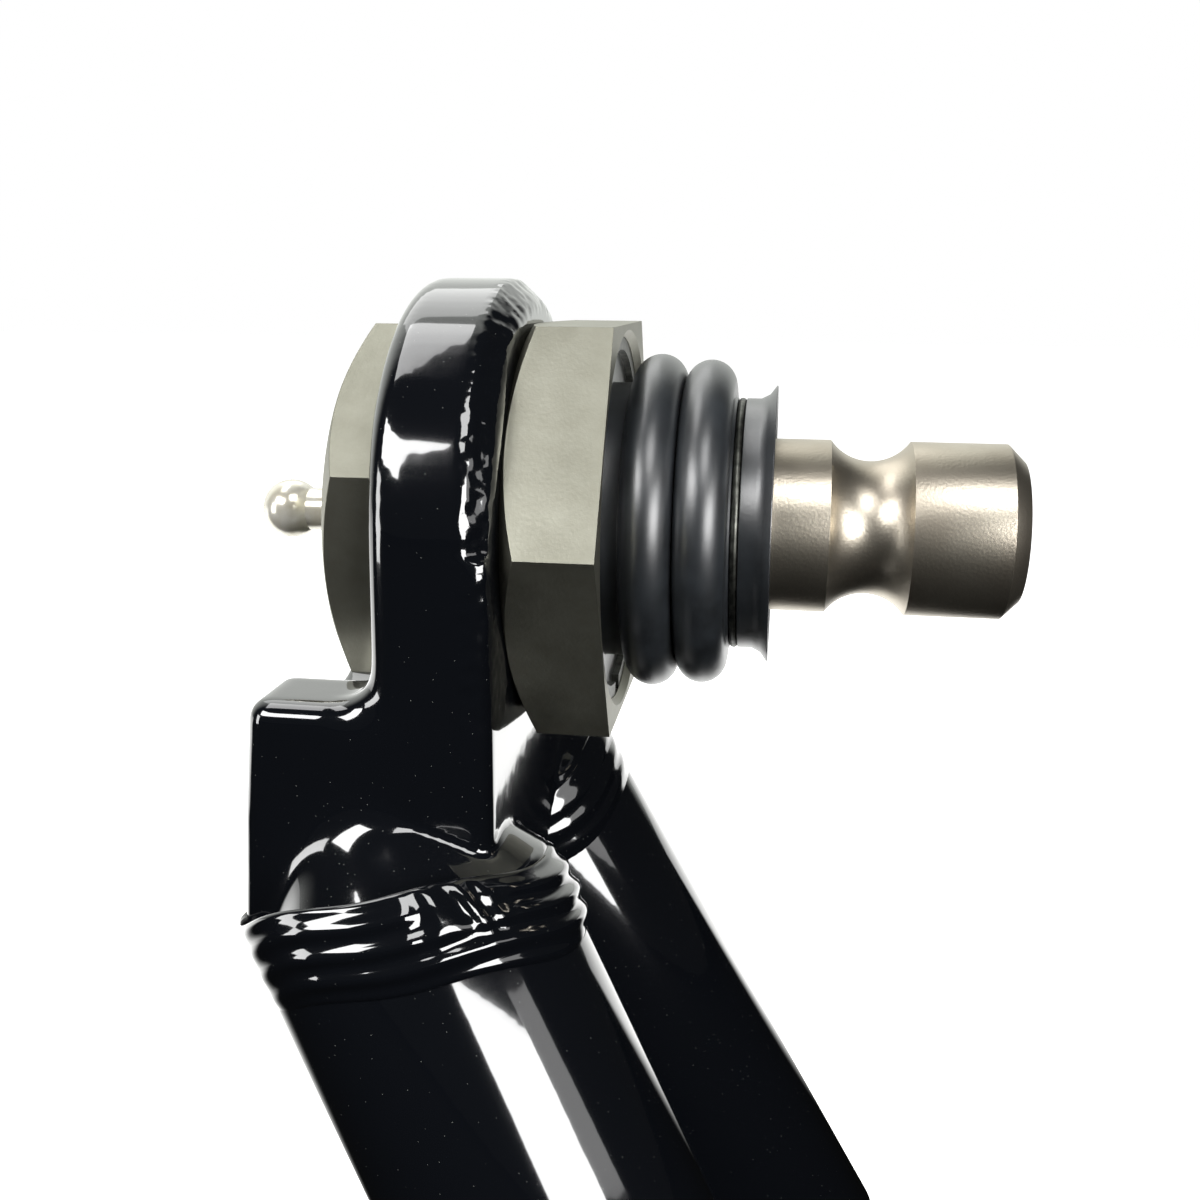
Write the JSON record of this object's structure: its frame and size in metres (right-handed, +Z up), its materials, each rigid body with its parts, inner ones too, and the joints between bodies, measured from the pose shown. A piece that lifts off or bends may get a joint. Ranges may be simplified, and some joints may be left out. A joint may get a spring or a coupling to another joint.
{
  "type": "suspension ball joint",
  "caption": "Rebuildable ball joint with a pinch-bolt stud and rubber boot, clamped by its hexagonal housing and cap in the eye of a two-tube control arm end.",
  "frame": {"origin": "centre of the ball", "axes": "+X along the stud at rest, pointing out of the housing; +Z up toward the top of the eye, away from the tubes; +Y from the front tube to the rear tube"},
  "size_m": [0.0808, 0.0904, 0.131],
  "materials": {
    "arm_paint": "gloss black powder coat",
    "hex_steel": "matte grey, blasted and phosphated",
    "stud_steel": "satin, nickel toned",
    "nipple_plate": "bright plated",
    "rubber": "satin black",
    "spring_steel": "bright spring steel",
    "ring_steel": "plain",
    "seat_bronze": "turned bearing bronze"
  },
  "bodies": {
    "arm": {"arm_end": "arm_paint", "front_tube": "arm_paint", "rear_tube": "arm_paint", "front_weld": "arm_paint", "rear_weld": "arm_paint", "housing": "hex_steel", "end_cap": "hex_steel", "cap_o_ring": "rubber", "preload_shim": "spring_steel", "disc_spring": "spring_steel", "upper_seat": "seat_bronze", "lower_seat": "seat_bronze", "boot_split_ring": "ring_steel", "nipple_body": "nipple_plate", "nipple_spring": "spring_steel"},
    "boot_swing": {"boot": "rubber"},
    "boot_collar": {"boot_neck_ring": "ring_steel"},
    "stud": {"ball_stud": "stud_steel"},
    "valve": {"check_ball": "spring_steel"}
  },
  "joints": [
    {"name": "stud_pitch", "type": "hinge", "parent": "arm", "child": "boot_swing", "pos_m": [0, 0, 0], "axis": [0, 1, 0], "range_deg": [-16, 16], "deforming": ["boot"]},
    {"name": "stud_yaw", "type": "hinge", "parent": "boot_swing", "child": "boot_collar", "pos_m": [0, 0, 0], "axis": [0, 0, 1], "range_deg": [-16, 16], "deforming": ["boot"]},
    {"name": "stud_spin", "type": "hinge", "parent": "boot_collar", "child": "stud", "pos_m": [0, 0, 0], "axis": [1, 0, 0], "continuous": true},
    {"name": "valve_slide", "type": "slide", "parent": "arm", "child": "valve", "axis": [1, 0, 0], "range_m": [0, 0.0006], "stiffness_N_per_m": 20, "deforming": ["nipple_spring"]}
  ]
}
